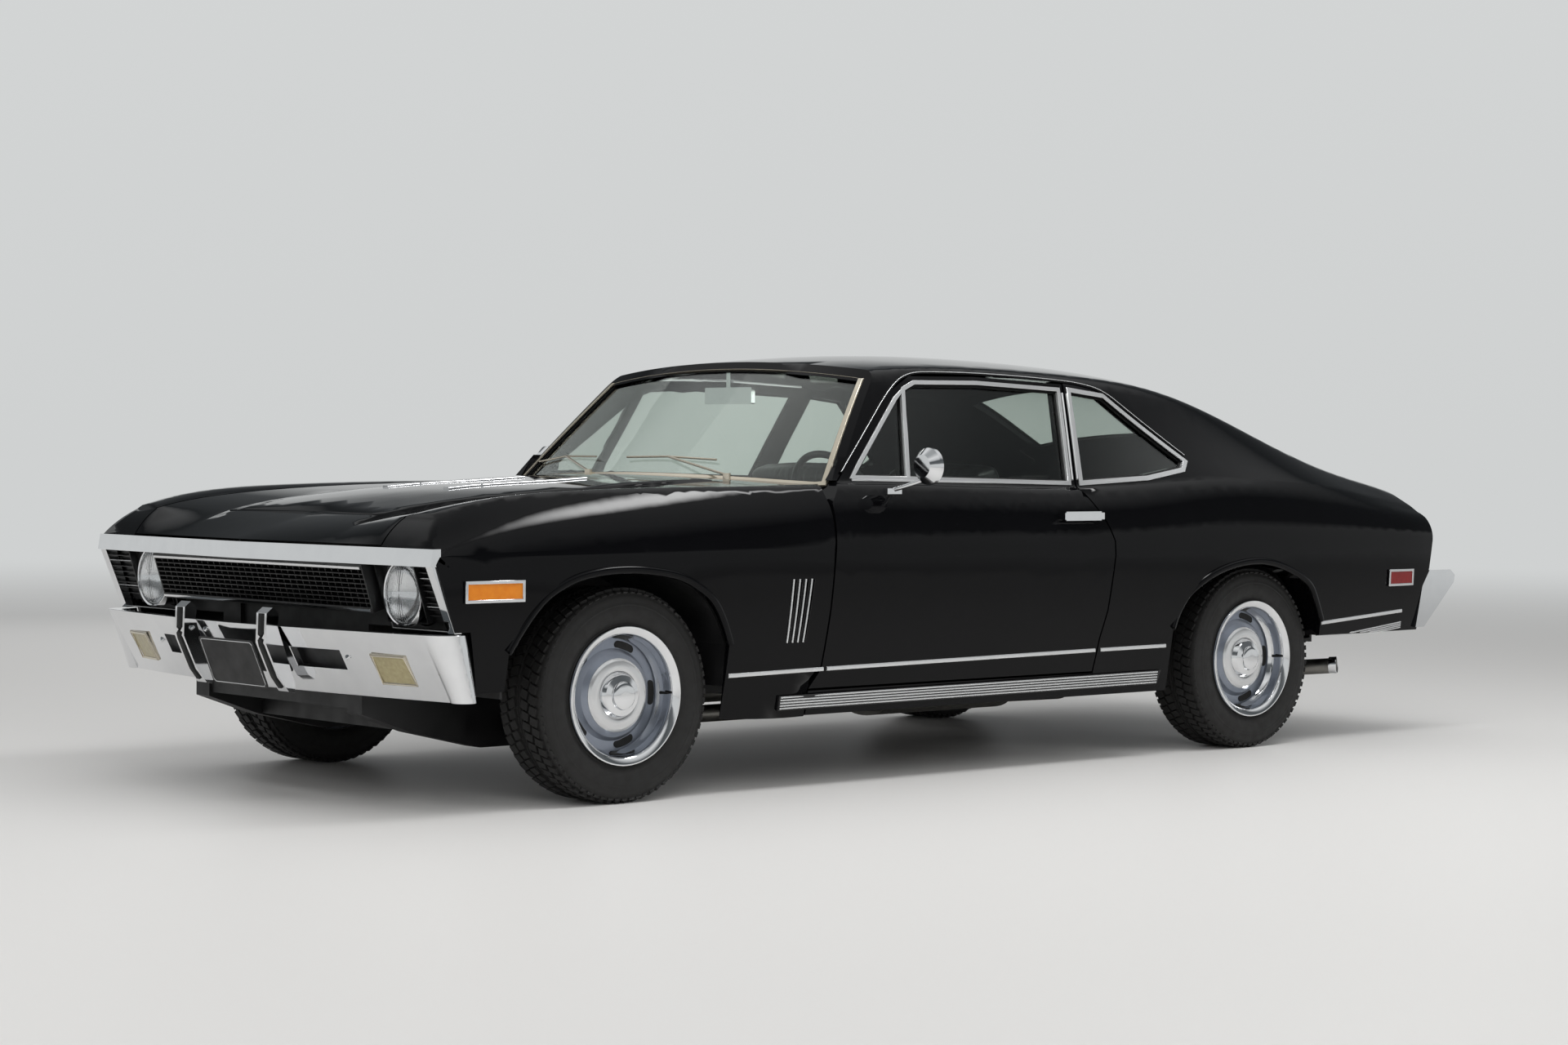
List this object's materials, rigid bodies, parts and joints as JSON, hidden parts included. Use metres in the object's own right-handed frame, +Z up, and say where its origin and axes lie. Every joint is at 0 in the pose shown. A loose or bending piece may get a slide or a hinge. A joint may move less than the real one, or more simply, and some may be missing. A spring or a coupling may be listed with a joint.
{
  "type": "two-door muscle coupe",
  "caption": "Low two-door hardtop coupe with a long hood, short deck, hollow cabin with two front seats and a rear bench, opening doors, hood and deck lid, and steered front wheels.",
  "frame": {"origin": "on the floor, midway between the front and rear ends of the bumpers and between the sides", "axes": "+X to the car's rear, +Y to the car's right, +Z up"},
  "size_m": [4.811, 2.086, 1.3681],
  "materials": {
    "body_paint": "gloss",
    "chrome": "polished",
    "bright_trim": "satin",
    "black_plastic": "satin",
    "tinted_glass": "clear",
    "lamp_glass": "clear",
    "amber_lens": "gloss",
    "red_lens": "gloss",
    "tyre": "matte",
    "wheel_silver": "satin",
    "chassis_black": "satin",
    "cast_iron": "rough",
    "black_vinyl": "satin",
    "dash_black": "matte",
    "exhaust_steel": "satin"
  },
  "bodies": {
    "body": {"cowl": "body_paint", "dashboard": "dash_black", "engine": "cast_iron", "exhaust": "exhaust_steel", "fender_left": "body_paint", "fender_right": "body_paint", "firewall": "chassis_black", "floor": "chassis_black", "front_bumper": "chrome", "front_seats": "black_vinyl", "front_subframe": "chassis_black", "fuel_tank": "chassis_black", "grille": "black_plastic", "header": "bright_trim", "headlamp_bezels": "black_plastic", "headlamps": "lamp_glass", "inner_mirror": "chrome", "leaf_springs": "chassis_black", "overriders": "chrome", "parcel_shelf": "dash_black", "park_lamps": "lamp_glass", "quarter_glass": "tinted_glass", "quarter_left": "body_paint", "quarter_right": "body_paint", "radiator": "chassis_black", "rear_axle": "chassis_black", "rear_bumper": "chrome", "rear_seat": "black_vinyl", "rear_window": "tinted_glass", "rocker_mouldings": "bright_trim", "rockers": "body_paint", "roof": "body_paint", "side_markers": "amber_lens", "steering_wheel": "dash_black", "tail_lamps": "red_lens", "tail_panel": "body_paint", "wheel_houses": "chassis_black", "windshield": "tinted_glass", "wipers": "chrome"},
    "hood": {"hood": "body_paint"},
    "deck_lid": {"deck_lid": "body_paint"},
    "door_left": {"door_left": "body_paint", "door_glass_left": "tinted_glass", "door_trim_left": "chrome"},
    "door_right": {"door_right": "body_paint", "door_glass_right": "tinted_glass", "door_trim_right": "chrome"},
    "knuckle_left": {"knuckle_left": "chassis_black"},
    "knuckle_right": {"knuckle_right": "chassis_black"},
    "wheel_front_left": {"tyre_front_left": "tyre", "wheel_front_left": "wheel_silver"},
    "wheel_front_right": {"tyre_front_right": "tyre", "wheel_front_right": "wheel_silver"},
    "wheel_rear_left": {"tyre_rear_left": "tyre", "wheel_rear_left": "wheel_silver"},
    "wheel_rear_right": {"tyre_rear_right": "tyre", "wheel_rear_right": "wheel_silver"}
  },
  "joints": [
    {"name": "hood_hinge", "type": "hinge", "parent": "body", "child": "hood", "pos_m": [-0.95725, 0, 0.95259], "axis": [0, 1, 0], "range_deg": [0, 50]},
    {"name": "deck_lid_hinge", "type": "hinge", "parent": "body", "child": "deck_lid", "pos_m": [1.70425, 0, 1.09013], "axis": [0, -1, 0], "range_deg": [0, 60]},
    {"name": "door_left_hinge", "type": "hinge", "parent": "body", "child": "door_left", "pos_m": [-0.7105, -0.842, 0.6], "axis": [0, 0, -1], "range_deg": [0, 65]},
    {"name": "door_right_hinge", "type": "hinge", "parent": "body", "child": "door_right", "pos_m": [-0.7105, 0.842, 0.6], "axis": [0, 0, 1], "range_deg": [0, 65]},
    {"name": "steering_left", "type": "hinge", "parent": "body", "child": "knuckle_left", "pos_m": [-1.5605, -0.694, 0.316], "axis": [0, 0, 1], "range_deg": [-32, 32]},
    {"name": "steering_right", "type": "hinge", "parent": "body", "child": "knuckle_right", "pos_m": [-1.5605, 0.694, 0.316], "axis": [0, 0, 1], "range_deg": [-32, 32]},
    {"name": "front_left_spin", "type": "hinge", "parent": "knuckle_left", "child": "wheel_front_left", "pos_m": [-1.5605, -0.756, 0.316], "axis": [0, 1, 0], "continuous": true},
    {"name": "front_right_spin", "type": "hinge", "parent": "knuckle_right", "child": "wheel_front_right", "pos_m": [-1.5605, 0.756, 0.316], "axis": [0, 1, 0], "continuous": true},
    {"name": "rear_left_spin", "type": "hinge", "parent": "body", "child": "wheel_rear_left", "pos_m": [1.2585, -0.756, 0.316], "axis": [0, 1, 0], "continuous": true},
    {"name": "rear_right_spin", "type": "hinge", "parent": "body", "child": "wheel_rear_right", "pos_m": [1.2585, 0.756, 0.316], "axis": [0, 1, 0], "continuous": true}
  ],
  "couplings": [
    {"joint": "steering_right", "follows": "steering_left", "ratio": 1}
  ]
}
